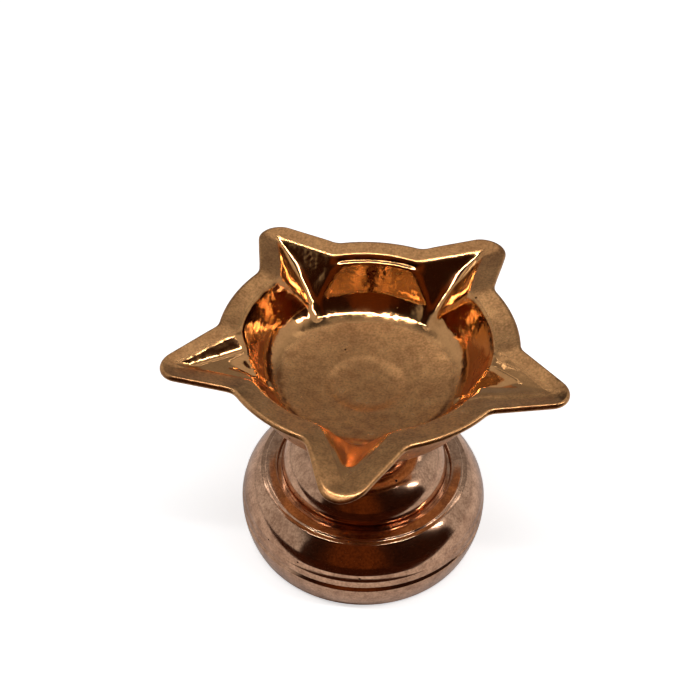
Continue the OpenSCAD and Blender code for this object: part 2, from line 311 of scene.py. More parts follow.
def skin(name, points, ring=False):
    """A closed mesh on a grid of points, rows by columns by xyz in millimetres. Columns close on
    themselves; rows close on themselves in a ring, or else end in a fan round the middle of each end.
    Faces are turned round if the volume they enclose comes out negative."""
    rows, columns = points.shape[:2]
    place = points.reshape(-1, 3)
    index = np.arange(rows * columns).reshape(rows, columns)
    beside = np.roll(index, -1, 1)
    if ring:
        quads = np.stack([index, beside, np.roll(beside, -1, 0), np.roll(index, -1, 0)], -1).reshape(-1, 4)
        fans = np.zeros((0, 3), int)
    else:
        quads = np.stack([index[:-1], beside[:-1], beside[1:], index[1:]], -1).reshape(-1, 4)
        ends = np.stack([points[0].mean(0), points[-1].mean(0)])
        place = np.concatenate([place, ends])
        first = np.stack([beside[0], index[0], np.full(columns, rows * columns)], -1)
        last = np.stack([index[-1], beside[-1], np.full(columns, rows * columns + 1)], -1)
        fans = np.concatenate([first, last])
    corner = place[quads]
    volume = np.einsum("ij,ij->", corner[:, 0], np.cross(corner[:, 1], corner[:, 2]))
    if volume < 0:
        quads, fans = quads[:, ::-1], fans[:, ::-1]
    mesh = bpy.data.meshes.new(name)
    mesh.from_pydata((place * MM).tolist(), [], quads.tolist() + fans.tolist())
    mesh.shade_smooth()
    made = bpy.data.objects.new(name, mesh)
    bpy.context.scene.collection.objects.link(made)
    return made


def turned(section, columns, wobble=0.0):
    """A section (r, z) carried round the axis: x = r cos t, y = r sin t. The hand-held tool leaves r a
    little out of round, by a wave of two lobes and a lower one of three, of the given size."""
    t = np.linspace(0, 2 * np.pi, columns, endpoint=False)[None, :]
    waves = wobble * (np.sin(2 * t + 0.6) + 0.6 * np.sin(3 * t + 2.1))
    r = section[:, :1] + waves * np.clip(section[:, :1] / belly_r, 0, 1)
    return np.stack([r * np.cos(t), r * np.sin(t), section[:, 1:] + 0 * t], -1)


low, high = span("foot")
belly_r, shelf_z = high[0], high[2]
belly_mid = (belly_r - BELLY_ROUND, BELLY_Z)
band_swell = belly_r - FACE_R
band_round = (BELLY_Z ** 2 + band_swell ** 2) / (2 * band_swell)
band_mid = (belly_r - band_round, BELLY_Z)
shelf_r = belly_mid[0] + math.sqrt(BELLY_ROUND ** 2 - (shelf_z - BELLY_Z) ** 2)
shelf_turn = math.degrees(math.asin((shelf_z - BELLY_Z) / BELLY_ROUND))
seat_z = shelf_z - SEAT_DEPTH
crown_z = seat_z - FOOT_WALL
crown_turn = math.degrees(math.asin((crown_z - BELLY_Z) / (BELLY_ROUND - FOOT_WALL)))
face_turn = -math.degrees(math.asin(BELLY_Z / band_round))
outside = np.concatenate([
    arc(band_mid, band_round, face_turn + BAND_SHORT, 0, count=60)[:-1],
    arc(belly_mid, BELLY_ROUND, 0, shelf_turn - BELLY_SHORT, count=120),
])
groove = np.clip(1 - np.abs(outside[:, 1] - GROOVE_Z) / GROOVE_HALF, 0, 1) ** GROOVE_SHARPNESS
ring = np.clip(1 - ((outside[:, 1] - RING_Z) / RING_HALF) ** 2, 0, 1)
outside[:, 0] -= GROOVE_DEPTH * groove + RING_DEPTH * ring
shelf = rounded([
    (shelf_r, shelf_z, SHELF_EDGE_ROUND),
    (SEAT_R, shelf_z, SEAT_EDGE_ROUND),
    (SEAT_R, seat_z, SEAT_CORNER_ROUND),
    (TAIL_HOLE_R, seat_z, TAIL_HOLE_ROUND),
    (TAIL_HOLE_R, crown_z, TAIL_HOLE_ROUND),
    (belly_mid[0], crown_z, 0.0),
])[:-1]
inside = np.concatenate([
    arc(belly_mid, BELLY_ROUND - FOOT_WALL, crown_turn, 0, count=40),
    arc(band_mid, band_round - FOOT_WALL, -INSIDE_SHORT, face_turn, count=24),
])
face = rounded([
    (inside[-1, 0], low[2], FACE_INNER_ROUND),
    (FACE_R, low[2], FACE_EDGE_ROUND),
    (outside[0, 0], outside[0, 1], 0.0),
])[:-1]
foot_section = spaced(np.concatenate([outside, shelf, inside, face]), FOOT_STEP)
foot = skin("foot_bell", turned(foot_section, FOOT_COLUMNS, FOOT_WOBBLE), ring=True)

COPPER_PINK = "#efbf9c"
COPPER_STAIN = "#6f3d22"
COPPER_OXIDE_AND_SHADE = "#2a140a"
# Sizes in millimetres of the marks in the metal's skin. The real grain is finer than a pixel of the
# picture, so it is drawn as coarse as it needs to show
CLOUD = 11.0
PATCH = 2.2
GRAIN = 0.42
PIT_APART = 2.4
TOOL_LINE = 0.38
TOOL_DEPTH = 0.001
WAVE = 3.2
# Height of the waves that buffing leaves, on satin and on bright metal
WAVE_SATIN = 0.01
WAVE_BRIGHT = 0.12
# Where in their noise the clouds and the grain start to show and show fully, how dark they get, and how
# much of the grain stays on bright metal
CLOUD_FROM = 0.45
CLOUD_FULL = 0.8
CLOUD_MOST = 0.35
GRAIN_FROM = 0.75
GRAIN_FULL = 1.25
GRAIN_MOST = 0.55
GRAIN_ON_BRIGHT = 0.3
# How much of the painted shade and dark spots is left where the patches are low and where they are high
RAGGED_LOW = 0.3
RAGGED_HIGH = 0.6
RAGGED_LEAST = 0.2
RAGGED_MOST = 1.3
# A pinhole's dark middle and its edge as shares of the spacing, and how bright a cell's random colour is
# where it has one
PIT_DARK = 0.06
PIT_EDGE = 0.13
PIT_NONE = 0.8
PIT_THERE = 0.82
# How much smoother and rougher than the finish the metal is, between low and high patches
HAZE_LOW = 0.3
HAZE_HIGH = 0.75
HAZE_LEAST = -0.03
HAZE_MOST = 0.06


def cast_copper(name, colour, satin, bright):
    """Cast copper alloy, turned and buffed by hand: a warm mirror with a faint haze, clouds of tarnish, a
    fine grain, dark pinholes, turning lines and a skin that is never quite even. Roughness runs from
    satin to bright by the vertex attribute 'polish', and 'stain' darkens it with painted shade and dark
    spots."""
    made, tree = bare_material(name)
    at = add(tree, "ShaderNodeTexCoord").outputs["Object"]
    polish = add(tree, "ShaderNodeAttribute", attribute_name="polish").outputs["Fac"]
    painted_shade_and_spots = add(tree, "ShaderNodeAttribute", attribute_name="painted_shade_and_spots").outputs["Fac"]
    cloud = add(tree, "ShaderNodeTexNoise", {
        "Vector": at, "Scale": 1 / (CLOUD * MM), "Detail": 5.0, "Roughness": 0.62,
    }).outputs[0]
    patch = add(tree, "ShaderNodeTexNoise", {
        "Vector": at, "Scale": 1 / (PATCH * MM), "Detail": 3.0, "Roughness": 0.6,
    }).outputs[0]
    grain = add(tree, "ShaderNodeTexNoise", {
        "Vector": at, "Scale": 1 / (GRAIN * MM), "Detail": 2.0,
    }).outputs[0]
    # Clouds of tarnish, then the grain, which is fainter where the metal is bright
    tarnish = add(tree, "ShaderNodeMapRange", {
        0: cloud, 1: CLOUD_FROM, 2: CLOUD_FULL, 3: 0.0, 4: CLOUD_MOST,
    }, **SOFT)
    base = add(tree, "ShaderNodeMix", {
        0: tarnish.outputs[0], 6: linear(colour), 7: linear(COPPER_STAIN),
    }, **COLOUR).outputs[2]
    shade = add(tree, "ShaderNodeMath", {0: grain, 1: patch}, operation="ADD").outputs[0]
    shade = add(tree, "ShaderNodeMapRange", {
        0: shade, 1: GRAIN_FROM, 2: GRAIN_FULL, 3: 0.0, 4: GRAIN_MOST,
    }).outputs[0]
    matt = add(tree, "ShaderNodeMapRange", {0: polish, 3: 1.0, 4: GRAIN_ON_BRIGHT}).outputs[0]
    shade = add(tree, "ShaderNodeMath", {0: shade, 1: matt}, operation="MULTIPLY").outputs[0]
    base = add(tree, "ShaderNodeMix", {0: shade, 6: base, 7: linear(COPPER_STAIN)}, **COLOUR).outputs[2]
    # Painted shade and dark spots with ragged edges, and round pinholes in about one cell of twelve
    ragged = add(tree, "ShaderNodeMapRange", {
        0: patch, 1: RAGGED_LOW, 2: RAGGED_HIGH, 3: RAGGED_LEAST, 4: RAGGED_MOST,
    }).outputs[0]
    ragged_shade_and_spots = add(tree, "ShaderNodeMath", {0: painted_shade_and_spots, 1: ragged}, operation="MULTIPLY", use_clamp=True)
    pits = add(tree, "ShaderNodeTexVoronoi", {"Vector": at, "Scale": 1 / (PIT_APART * MM)})
    pit_edge = add(tree, "ShaderNodeMapRange", {
        0: pits.outputs["Distance"], 1: PIT_DARK, 2: PIT_EDGE, 3: 1.0, 4: 0.0,
    }, **SOFT).outputs[0]
    pit_few = add(tree, "ShaderNodeMapRange", {
        0: pits.outputs["Color"], 1: PIT_NONE, 2: PIT_THERE,
    }).outputs[0]
    pit = add(tree, "ShaderNodeMath", {0: pit_edge, 1: pit_few}, operation="MULTIPLY").outputs[0]
    dark = add(tree, "ShaderNodeMath", {0: ragged_shade_and_spots.outputs[0], 1: pit}, operation="MAXIMUM").outputs[0]
    spotted = add(tree, "ShaderNodeMix", {0: dark, 6: base, 7: linear(COPPER_OXIDE_AND_SHADE)}, **COLOUR).outputs[2]
    # Roughness: the finish, a patchy haze, and matt pits
    smooth = add(tree, "ShaderNodeMapRange", {0: polish, 3: satin, 4: bright}).outputs[0]
    haze = add(tree, "ShaderNodeMapRange", {
        0: patch, 1: HAZE_LOW, 2: HAZE_HIGH, 3: HAZE_LEAST, 4: HAZE_MOST,
    }).outputs[0]
    rough = add(tree, "ShaderNodeMath", {0: smooth, 1: haze}, operation="ADD").outputs[0]
    rough = add(tree, "ShaderNodeMath", {0: rough, 1: pit}, operation="ADD").outputs[0]
    # Relief: lines round the axis from the lathe, and slow waves from the buff
    height = add(tree, "ShaderNodeSeparateXYZ", {0: at}).outputs[2]
    across = add(tree, "ShaderNodeVectorMath", {0: at, 1: (1.0, 1.0, 0.0)}, operation="MULTIPLY").outputs[0]
    radius = add(tree, "ShaderNodeVectorMath", {0: across}, operation="LENGTH").outputs["Value"]
    lathe = add(tree, "ShaderNodeCombineXYZ", {0: radius, 1: height}).outputs[0]
    lines = add(tree, "ShaderNodeTexNoise", {"Vector": lathe, "Scale": 1 / (TOOL_LINE * MM), "Detail": 2.0})
    wave = add(tree, "ShaderNodeTexNoise", {
        "Vector": at, "Scale": 1 / (WAVE * MM), "Detail": 2.0, "Roughness": 0.55,
    }).outputs[0]
    wavy = add(tree, "ShaderNodeMapRange", {0: polish, 3: WAVE_SATIN * MM, 4: WAVE_BRIGHT * MM}).outputs[0]
    cut = add(tree, "ShaderNodeMath", {
        0: lines.outputs[0], 1: TOOL_DEPTH * MM,
    }, operation="MULTIPLY").outputs[0]
    swell = add(tree, "ShaderNodeMath", {0: wave, 1: wavy}, operation="MULTIPLY").outputs[0]
    relief = add(tree, "ShaderNodeMath", {0: cut, 1: swell}, operation="ADD").outputs[0]
    bump = add(tree, "ShaderNodeBump", {"Strength": 1.0, "Distance": 1.0, "Height": relief}).outputs[0]
    metal = add(tree, "ShaderNodeBsdfPrincipled", {
        "Base Color": spotted, "Metallic": 1.0, "Roughness": rough, "Normal": bump,
    }).outputs[0]
    add(tree, "ShaderNodeOutputMaterial", {"Surface": metal})
    return made


foot.data.materials.append(cast_copper("foot_buffed_copper", COPPER_PINK, FOOT_ROUGHNESS, FOOT_ROUGHNESS))
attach(foot, "pedestal")
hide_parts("foot")

# Stem
# A solid turning of the same alloy: a cushion-shaped swelling that stands in the foot's seat and a
# waisted neck above it. It is tapped from above for the bowl's stud and threaded below for the nut.
CUSHION_ROUND = 7.2
CUSHION_END = 88
CUSHION_EDGE_ROUND = 0.2
NECK_H = 4.5
NECK_LAND = 0.6
NECK_ROOT_W = 0.1
NECK_ROOT_ROUND = 0.05
NECK_EDGE_ROUND = 0.12
NECK_TOP_ROUND = 0.15
WAIST_FROM = -84
WAIST_TO = -276
TAIL_R = 5.0
TAIL_PITCH = 1.5
TAIL_CHAMFER = 0.9
TAIL_ROUND = 0.2
BORE_R = 4.0
BORE_DEPTH = 9.2
BORE_MOUTH_ROUND = 0.3
BORE_END_ROUND = 0.1
# A thread's depth as a share of its pitch, the share of that depth which the flats at crest and root each
# cut off, and the rows along each pitch
THREAD_DEPTH = 0.55
THREAD_FLAT = 0.125
THREAD_STEPS = 10
# Where a section ends on the axis, it stops this far from it and a fan closes it
AXIS_GAP = 0.02
STEM_STEP = 0.6
STEM_COLUMNS = 200
STEM_WOBBLE = 0.04
STEM_ROUGHNESS = 0.13


def thread(z, t, pitch):
    """Depth of a cut right-hand thread: a triangle wave of z / pitch less one turn's share of t, with the
    crest and the root cut flat, and as deep at most as its share of the pitch."""
    phase = np.mod(z / pitch - t / (2 * np.pi), 1)
    wave = (1 + 2 * THREAD_FLAT) * (1 - np.abs(2 * phase - 1)) - THREAD_FLAT
    return THREAD_DEPTH * pitch * np.clip(wave, 0, 1)


low, high = span("stem")
cushion_r, stem_top, tail_z = high[0], high[2], low[2]
neck_z = stem_top - NECK_H
cushion_z = neck_z - CUSHION_ROUND
neck_r = cushion_r - CUSHION_ROUND
waist_round = NECK_H / 2 - NECK_LAND
bore_end = stem_top - BORE_DEPTH
tail_section = spaced(rounded([
    (TAIL_R - TAIL_CHAMFER, tail_z, 0.0),
    (TAIL_R, tail_z + TAIL_CHAMFER, TAIL_ROUND),
    (TAIL_R, seat_z, 0.0),
]), TAIL_PITCH / THREAD_STEPS)
body_section = spaced(np.concatenate([
    rounded([
        (TAIL_R, seat_z, 0.0),
        (cushion_r, seat_z, CUSHION_EDGE_ROUND),
        (cushion_r, cushion_z, 0.0),
    ])[:-1],
    arc((neck_r, cushion_z), CUSHION_ROUND, 0, CUSHION_END, count=70),
    rounded([
        (neck_r + NECK_ROOT_W, neck_z, NECK_ROOT_ROUND),
        (neck_r, neck_z + NECK_LAND, NECK_EDGE_ROUND),
    ]),
    arc((neck_r, neck_z + NECK_H / 2), waist_round, WAIST_FROM, WAIST_TO, count=40),
    rounded([
        (neck_r, stem_top - NECK_LAND, NECK_EDGE_ROUND),
        (neck_r, stem_top, NECK_TOP_ROUND),
        (BORE_R, stem_top, BORE_MOUTH_ROUND),
        (BORE_R, bore_end, BORE_END_ROUND),
        (AXIS_GAP, bore_end, 0.0),
    ]),
]), STEM_STEP)
tail = turned(tail_section, STEM_COLUMNS)
tail_t = np.arctan2(tail[..., 1:2], tail[..., :1])
below_foot = tail[..., 2:] < crown_z
tail[..., :2] *= 1 - thread(tail[..., 2:], tail_t, TAIL_PITCH) * below_foot / TAIL_R
stem = skin("stem_turning", np.concatenate([tail[:-1], turned(body_section, STEM_COLUMNS, STEM_WOBBLE)]))
stem.data.materials.append(cast_copper("stem_buffed_copper", COPPER_PINK, STEM_ROUGHNESS, STEM_ROUGHNESS))
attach(stem, "pedestal")
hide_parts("stem")

# Stem nut
# A plain hexagon nut of steel on the threaded tail, turned up against the foot's crown from inside
# the hollow. It holds foot and stem together, and shows only from below.
STEEL_GREY = "#b4b2ac"
STEEL_RUST = "#7a5238"
# Width and depth of the drawing marks, how they stretch along the axis, and the size of the rust spots
DRAWN_LINE = 0.625
DRAWN_DEPTH = 0.1
DRAWN_STRETCH = (1.0, 1.0, 0.06)
RUST_SPOT = 2.08
# Where in its noise rust starts and is full, how much it covers, and the roughness of clean and rusty steel
RUST_FROM = 0.56
RUST_FULL = 0.7
RUST_MOST = 0.7
STEEL_SMOOTH = 0.28
STEEL_ROUGH = 0.6
# Most of a noise texture's values lie between these two
NOISE_LOW = 0.3
NOISE_HIGH = 0.7
NUT_CONE_SHARE = 0.96
NUT_CONE_SLOPE = math.tan(math.radians(60))
NUT_EDGE_ROUND = 0.15
NUT_CLEARANCE = 0.03
# A countersink at both ends of the bore: its depth, and the share of it by which it widens past the thread
NUT_SINK = 0.8
NUT_SINK_FLARE = 0.3
NUT_COLUMNS = 180
BORE_ROWS = 60
FACE_SHARES = np.linspace(0, 1, 8)[1:-1, None]
# Rows down the sides, close together where the cone takes the corners off
SIDE_SHARES = np.concatenate([np.linspace(0, 0.3, 10), np.linspace(0.35, 0.65, 4), np.linspace(0.7, 1, 10)])


def smooth_min(a, b, width):
    """The lower of two heights, rounded where they come within width of each other."""
    h = np.clip(0.5 + 0.5 * (b - a) / width, 0, 1)
    return b + (a - b) * h - width * h * (1 - h)


def smooth_max(a, b, width):
    """The higher of two heights, rounded where they come within width of each other."""
    return -smooth_min(-a, -b, width)


def hexagon(t, half_flats, first_flat):
    """Distance from the axis to the nut's side: half the flats over the cosine of the angle to the
    middle of the nearest flat."""
    return half_flats / np.cos(np.mod(t - first_flat + np.pi / 6, np.pi / 3) - np.pi / 6)


def nut_rows(low, high):
    """The nut's section, carried round: up the threaded bore, out over the top face, down the six sides,
    where a cone takes the corners off, and back under the bottom face."""
    t = np.linspace(0, 2 * np.pi, NUT_COLUMNS, endpoint=False)[None, :]
    half_flats = min(high[0], high[1])
    first_flat = np.pi / 6 if high[0] > high[1] else 0.0
    height = high[2] - low[2]
    z = np.linspace(low[2], high[2], BORE_ROWS)[:, None]
    sink = np.maximum(NUT_SINK - np.minimum(z - low[2], high[2] - z), 0)
    bore = np.maximum(TAIL_R - thread(z, t, TAIL_PITCH), TAIL_R - NUT_SINK + sink)
    bore = bore + NUT_CLEARANCE + NUT_SINK_FLARE * sink
    depth = height * SIDE_SHARES[:, None]
    cone = half_flats * NUT_CONE_SHARE + NUT_CONE_SLOPE * np.minimum(depth, height - depth)
    side = smooth_min(hexagon(t, half_flats, first_flat), cone, NUT_EDGE_ROUND)
    top = bore[-1:] + (side[:1] - bore[-1:]) * FACE_SHARES
    bottom = bore[:1] + (side[-1:] - bore[:1]) * FACE_SHARES
    level_top, level_bottom = np.full_like(FACE_SHARES, high[2]), np.full_like(FACE_SHARES, low[2])
    r = np.concatenate([bore, top, side, bottom[::-1]])
    z = np.concatenate([z, level_top, high[2] - depth, level_bottom])
    return np.stack([r * np.cos(t), r * np.sin(t), z + 0 * t], -1)


nut = skin("stem_nut_hexagon", nut_rows(*span("stem_nut")), ring=True)
# Bar steel is drawn along the nut's axis, so its marks run up the sides; rust starts in small spots
drawn_steel, tree = bare_material("drawn_bar_steel")
at = add(tree, "ShaderNodeTexCoord").outputs["Object"]
drawn = add(tree, "ShaderNodeVectorMath", {0: at, 1: DRAWN_STRETCH}, operation="MULTIPLY").outputs[0]
marks = add(tree, "ShaderNodeTexNoise", {
    "Vector": drawn, "Scale": 1 / (DRAWN_LINE * MM), "Detail": 3.0,
}).outputs[0]
spots = add(tree, "ShaderNodeTexNoise", {
    "Vector": at, "Scale": 1 / (RUST_SPOT * MM), "Detail": 5.0, "Roughness": 0.7,
}).outputs[0]
rust = add(tree, "ShaderNodeMapRange", {
    0: spots, 1: RUST_FROM, 2: RUST_FULL, 3: 0.0, 4: RUST_MOST,
}).outputs[0]
shade = add(tree, "ShaderNodeMix", {
    0: rust, 6: linear(STEEL_GREY), 7: linear(STEEL_RUST),
}, **COLOUR).outputs[2]
rough = add(tree, "ShaderNodeMapRange", {
    0: spots, 1: NOISE_LOW, 2: NOISE_HIGH, 3: STEEL_SMOOTH, 4: STEEL_ROUGH,
}).outputs[0]
bump = add(tree, "ShaderNodeBump", {
    "Strength": 0.25, "Distance": DRAWN_DEPTH * MM, "Height": marks,
}).outputs[0]
metal = add(tree, "ShaderNodeBsdfPrincipled", {
    "Base Color": shade, "Metallic": 1.0, "Roughness": rough, "Normal": bump,
}).outputs[0]
add(tree, "ShaderNodeOutputMaterial", {"Surface": metal})
nut.data.materials.append(drawn_steel)
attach(nut, "pedestal")
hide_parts("stem_nut")

# Seat washer
# A punched ring of red-brown vulcanised fibre between the stem's top and the bowl's boss. It takes up
# the last part of a turn when the bowl is screwed down.
FIBRE_RED = "#5c2a1d"
FIBRE_PALE = "#80452f"
# Size and depth of the flecks, how they thin out into layers, and where in their noise they show
FIBRE_FLECK = 0.667
FLECK_DEPTH = 0.1
FLECK_LAYERS = (1.0, 1.0, 6.0)
FLECK_FROM = 0.4
FLECK_FULL = 0.7
FIBRE_ROUGHNESS = 0.62
WASHER_EDGE = 0.16
WASHER_CLEARANCE = 0.25
WASHER_STEP = 0.5
WASHER_COLUMNS = 120
low, high = span("seat_washer")
washer_hole = BORE_R + WASHER_CLEARANCE
washer_section = spaced(rounded([
    (washer_hole, low[2], WASHER_EDGE), (high[0], low[2], WASHER_EDGE),
    (high[0], high[2], WASHER_EDGE), (washer_hole, high[2], WASHER_EDGE),
]), WASHER_STEP)
washer = skin("seat_washer_ring", turned(washer_section, WASHER_COLUMNS), ring=True)
# Pressed from paper layers: fine flecks of fibre on the faces, thin layers along the punched edge
vulcanised_fibre, tree = bare_material("vulcanised_fibre_sheet")
at = add(tree, "ShaderNodeTexCoord").outputs["Object"]
layers = add(tree, "ShaderNodeVectorMath", {0: at, 1: FLECK_LAYERS}, operation="MULTIPLY").outputs[0]
fleck = add(tree, "ShaderNodeTexNoise", {
    "Vector": layers, "Scale": 1 / (FIBRE_FLECK * MM), "Detail": 4.0, "Roughness": 0.7,
}).outputs[0]
mix = add(tree, "ShaderNodeMapRange", {0: fleck, 1: FLECK_FROM, 2: FLECK_FULL}).outputs[0]
shade = add(tree, "ShaderNodeMix", {0: mix, 6: linear(FIBRE_RED), 7: linear(FIBRE_PALE)}, **COLOUR).outputs[2]
bump = add(tree, "ShaderNodeBump", {
    "Strength": 0.3, "Distance": FLECK_DEPTH * MM, "Height": fleck,
}).outputs[0]
fibre = add(tree, "ShaderNodeBsdfPrincipled", {
    "Base Color": shade, "Roughness": FIBRE_ROUGHNESS, "Normal": bump,
}).outputs[0]
add(tree, "ShaderNodeOutputMaterial", {"Surface": fibre})
washer.data.materials.append(vulcanised_fibre)
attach(washer, "washer")
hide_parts("seat_washer")

# Bowl stud
# A length of brass rod with a thread of 1.25 mm pitch cut along it. It is fixed in the bowl's boss and
# screws down into the stem, so it shows only while the bowl is off its seat.
BRASS = "#dcb56c"
BRASS_DARK = "#8d6a33"
# Width and depth of the cutting marks, how they stretch across the axis, and the size of the oil patches
CUT_LINE = 0.2
CUT_DEPTH = 0.1
CUT_STRETCH = (0.15, 0.15, 1.0)
OIL_PATCH = 2.86
# Where in its noise oil starts and is full, how dark it gets, and the roughness of clean and oily brass
OIL_FROM = 0.5
OIL_FULL = 0.75
OIL_MOST = 0.6
BRASS_SMOOTH = 0.2
BRASS_ROUGH = 0.42
STUD_PITCH = 1.25
STUD_CHAMFER = 0.8
STUD_ROUND = 0.1
STUD_COLUMNS = 96
low, high = span("bowl_stud")
stud_r = high[0]
stud_section = spaced(rounded([
    (AXIS_GAP, low[2], 0.0),
    (stud_r - STUD_CHAMFER, low[2], 0.0),
    (stud_r, low[2] + STUD_CHAMFER, STUD_ROUND),
    (stud_r, high[2] - STUD_CHAMFER, STUD_ROUND),
    (stud_r - STUD_CHAMFER, high[2], 0.0),
    (AXIS_GAP, high[2], 0.0),
]), STUD_PITCH / THREAD_STEPS)
stud_points = turned(stud_section, STUD_COLUMNS)
stud_t = np.arctan2(stud_points[..., 1:2], stud_points[..., :1])
cut_r = stud_r - thread(stud_points[..., 2:], stud_t, STUD_PITCH)
stud_points[..., :2] *= np.minimum(1, cut_r / np.hypot(stud_points[..., :1], stud_points[..., 1:2]))
stud = skin("bowl_stud_thread", stud_points)
# A cut thread is bright on its flanks, and old oil darkens it in patches
cut_brass, tree = bare_material("cut_brass_rod")
at = add(tree, "ShaderNodeTexCoord").outputs["Object"]
tool = add(tree, "ShaderNodeVectorMath", {0: at, 1: CUT_STRETCH}, operation="MULTIPLY").outputs[0]
lines = add(tree, "ShaderNodeTexNoise", {
    "Vector": tool, "Scale": 1 / (CUT_LINE * MM), "Detail": 2.0,
}).outputs[0]
oil = add(tree, "ShaderNodeTexNoise", {
    "Vector": at, "Scale": 1 / (OIL_PATCH * MM), "Detail": 4.0, "Roughness": 0.6,
}).outputs[0]
dark = add(tree, "ShaderNodeMapRange", {0: oil, 1: OIL_FROM, 2: OIL_FULL, 3: 0.0, 4: OIL_MOST}).outputs[0]
shade = add(tree, "ShaderNodeMix", {0: dark, 6: linear(BRASS), 7: linear(BRASS_DARK)}, **COLOUR).outputs[2]
rough = add(tree, "ShaderNodeMapRange", {
    0: oil, 1: NOISE_LOW, 2: NOISE_HIGH, 3: BRASS_SMOOTH, 4: BRASS_ROUGH,
}).outputs[0]
bump = add(tree, "ShaderNodeBump", {
    "Strength": 0.15, "Distance": CUT_DEPTH * MM, "Height": lines,
}).outputs[0]
metal = add(tree, "ShaderNodeBsdfPrincipled", {
    "Base Color": shade, "Metallic": 1.0, "Roughness": rough, "Normal": bump,
}).outputs[0]
add(tree, "ShaderNodeOutputMaterial", {"Surface": metal})
stud.data.materials.append(cut_brass)
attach(stud, "bowl")
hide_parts("bowl_stud")

# Lamp bowl
# One casting of copper alloy, buffed by hand: a round bowl with five spouts, each with a V-shaped
# channel for a wick. Its rim slopes inwards, and a boss below takes the stud.
COPPER_WARM = "#e7ac71"
SATIN_ROUGHNESS = 0.3
BRIGHT_ROUGHNESS = 0.1
# Rim and lip
RIM_R = 27.7
RIM_FACE_W = 4.5
RIM_DIP = 1.5
RIM_LAND = 0.3
LIP_H = 1.25
LIP_ROUND_TOP = 0.65
LIP_ROUND_LOW = 0.45
# Inside of the bowl: it lies off the axis, as its core did in the mould, and has a recess in its floor
CAVITY_OFF = (-0.3, 1.1)
WALL_T = 2.6
FLOOR_DEPTH = 13.6
CORNER_ROUND = 7.0
CORNER_IN = 9.5
CORNER_DEPTH = 5.1
RECESS_R = 7.2
RECESS_DEPTH = 0.25
RECESS_FULL = 1.15
RECESS_SHARPNESS = 6
# Edge between rim and wall: a step and a ledge at the back, which come in by the sine of the angle from
# the x axis, and a plain small edge elsewhere
STEP_SLOPE = math.radians(62.0)
LEDGE_SLOPE = math.radians(24.0)
LEDGE_FROM = 0.78
LEDGE_FADE = 0.1
LEDGE_W = 1.0
LEDGE_H = 0.8
PLAIN_EDGE_W = 0.12
PLAIN_EDGE_H = 0.25
RIM_EDGE_ROUND = 0.22
EDGE_REACH = 3.0
# Spouts and wick channels, common to all five
SPOUT_ROOT_W = 17.3
SPOUT_ROOT_BLEND = 1.2
SPOUT_WALL = 2.3
VALLEY_R = 3.5
CHANNEL_FLOOR_W = 1.4
CHANNEL_SILL = 0.15
CHANNEL_TAPER = math.radians(26.6)
CHANNEL_ROUND = 0.8
CHANNEL_CLOSE = 3.0
MOUTH_ROUND = 1.5
HULL_BLEND = 0.6
LIP_BLEND = 0.4
# The five spouts as cast, from the front one on, anticlockwise seen from above: reach, turn in degrees
# and tip radius, droop and thinning of the tip, and how far in from the outline the rim's face falls
SPOUT_REACH = np.array([38.0, 37.9, 37.8, 37.0, 38.1])
SPOUT_TURN = np.array([-2.4, 0.4, -1.6, 1.6, 0.7])
TIP_R = np.array([4.6, 3.5, 4.2, 3.9, 3.5])
TIP_DROP = np.array([0.9, 0.0, 0.0, 0.0, 0.1])
TIP_THIN = np.array([0.2, 0.0, 0.0, 0.0, 0.0])
FACE_LIMIT = np.array([20.0, 3.2, 20.0, 20.0, 20.0])
# That limit grows again off the spout's line: from this angle on, in millimetres per radian
FACE_LIMIT_FROM = math.radians(8)
FACE_LIMIT_GROWTH = 12.0
# Their channels: reach, radius and depth of the bend in the floor, lean of the sides inside the bend and
# beyond it, rise of the floor beyond it, and the rounds of the bend and of the upper edge
CHANNEL_END = np.array([34.6, 34.8, 34.0, 33.4, 35.3])
BEND_R = np.array([32.4, 28.6, 27.9, 27.9, 25.6])
BEND_DEPTH = np.array([1.45, 1.75, 3.1, 3.1, 3.5])
FLARE_IN = np.radians([45, 32, 48, 48, 46])
FLANK = np.radians([48, 27, 41, 41, 42])
FLOOR_RISE = np.radians([4, 3, 17, 17, 10])
BEND_ROUND = np.array([0.9, 0.9, 1.6, 1.6, 1.0])
EDGE_ROUND = np.array([0.5, 0.4, 0.5, 0.5, 0.5])
# A bevel filed on the front tip: steps out and down along it, how much lower its lip ends, the angle in
# which it fades out to the right, and the angle up to which it is full on the left
FILED_OUT = np.array([0.30, 0.60, 0.85, 1.05, 1.15, 1.15])
FILED_DOWN = np.array([0.17, 0.33, 0.47, 0.62, 0.75, 0.90])
FILED_LOWER = 0.6
FILED_RIGHT = math.radians(5)
FILED_LEFT = math.radians(9)
# Turn and droop of a spout: the radius from which it grows, its share past the tip, the radius from which
# the lip thins, and the angles off the spout's line up to which it is full and over which it fades
BENT_FROM = 24.0
BENT_MOST = 1.1
THIN_FROM = 20.0
BENT_FULL = math.radians(7.8)
BENT_FADE = math.radians(13)
# Boss
BOSS_R = 9.3
BOSS_NECK_R = 8.5
BOSS_BAND_H = 1.6
BOSS_ROUND = 0.3
BOSS_NECK_ROUND = 0.15
COVE_RISE = 2.9
COVE_FROM = 124
COVE_TO = 178
STUD_HOLE_R = 3.97
STUD_HOLE_ROUND = 0.2
STUD_HOLE_END_ROUND = 0.1
STUD_COVER = 2.2
# Grid: columns round the bowl, rows along each stretch of its section, and where the stretches part
COLUMNS_HALF = 48
COLUMN_BUNCHING = 1.5
FLOOR_ROWS = 30
WALL_ROWS = 58
EDGE_ROWS = 19
FACE_ROWS = 11
ROUND_ROWS = 7
LIP_ROWS = 5
UNDER_ROWS = 46
FLOOR_START = 0.05
FLOOR_END = 14.5
EDGE_BAND = 1.1
UNDER_GAP = 0.05
UNDER_END = 14.0
SEEK_STEPS = 800
